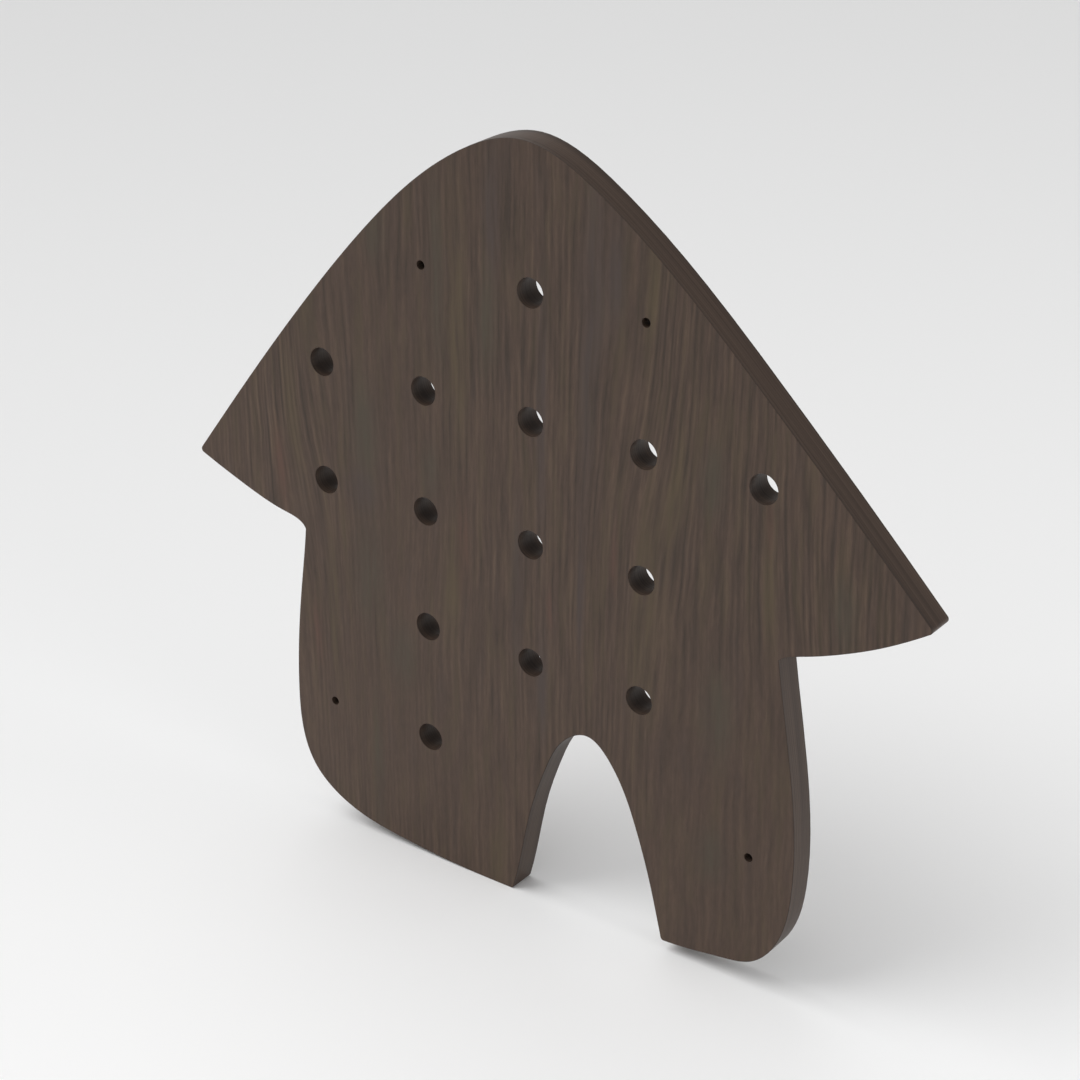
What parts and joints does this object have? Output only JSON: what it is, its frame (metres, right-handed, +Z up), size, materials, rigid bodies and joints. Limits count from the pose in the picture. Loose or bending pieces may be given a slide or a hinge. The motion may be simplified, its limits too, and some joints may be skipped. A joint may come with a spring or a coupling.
{
  "type": "training peg board",
  "caption": "Figure-shaped plywood training board with a wide pointed top, two feet, a square grid of peg holes and small wall-fixing holes.",
  "frame": {"origin": "where the axis of the middle peg hole meets the back (wall) face of the board", "axes": "+Z up, +X to the right as seen from the front, +Y into the wall, so the front face looks along -Y"},
  "size_m": [1.0059, 0.035, 0.937],
  "materials": {
    "face_veneer": "dark brown stain under a satin clear coat, upright grain",
    "cross_ply": "dark brown stain, end grain on most of the edge",
    "long_ply": "dark brown stain, long grain on most of the edge"
  },
  "bodies": {
    "root": {"front_face_veneer": "face_veneer", "core_ply_1": "cross_ply", "core_ply_2": "long_ply", "core_ply_3": "cross_ply", "core_ply_4": "long_ply", "core_ply_5": "cross_ply", "core_ply_6": "long_ply", "core_ply_7": "cross_ply", "core_ply_8": "long_ply", "core_ply_9": "cross_ply", "back_face_veneer": "face_veneer"}
  },
  "joints": []
}
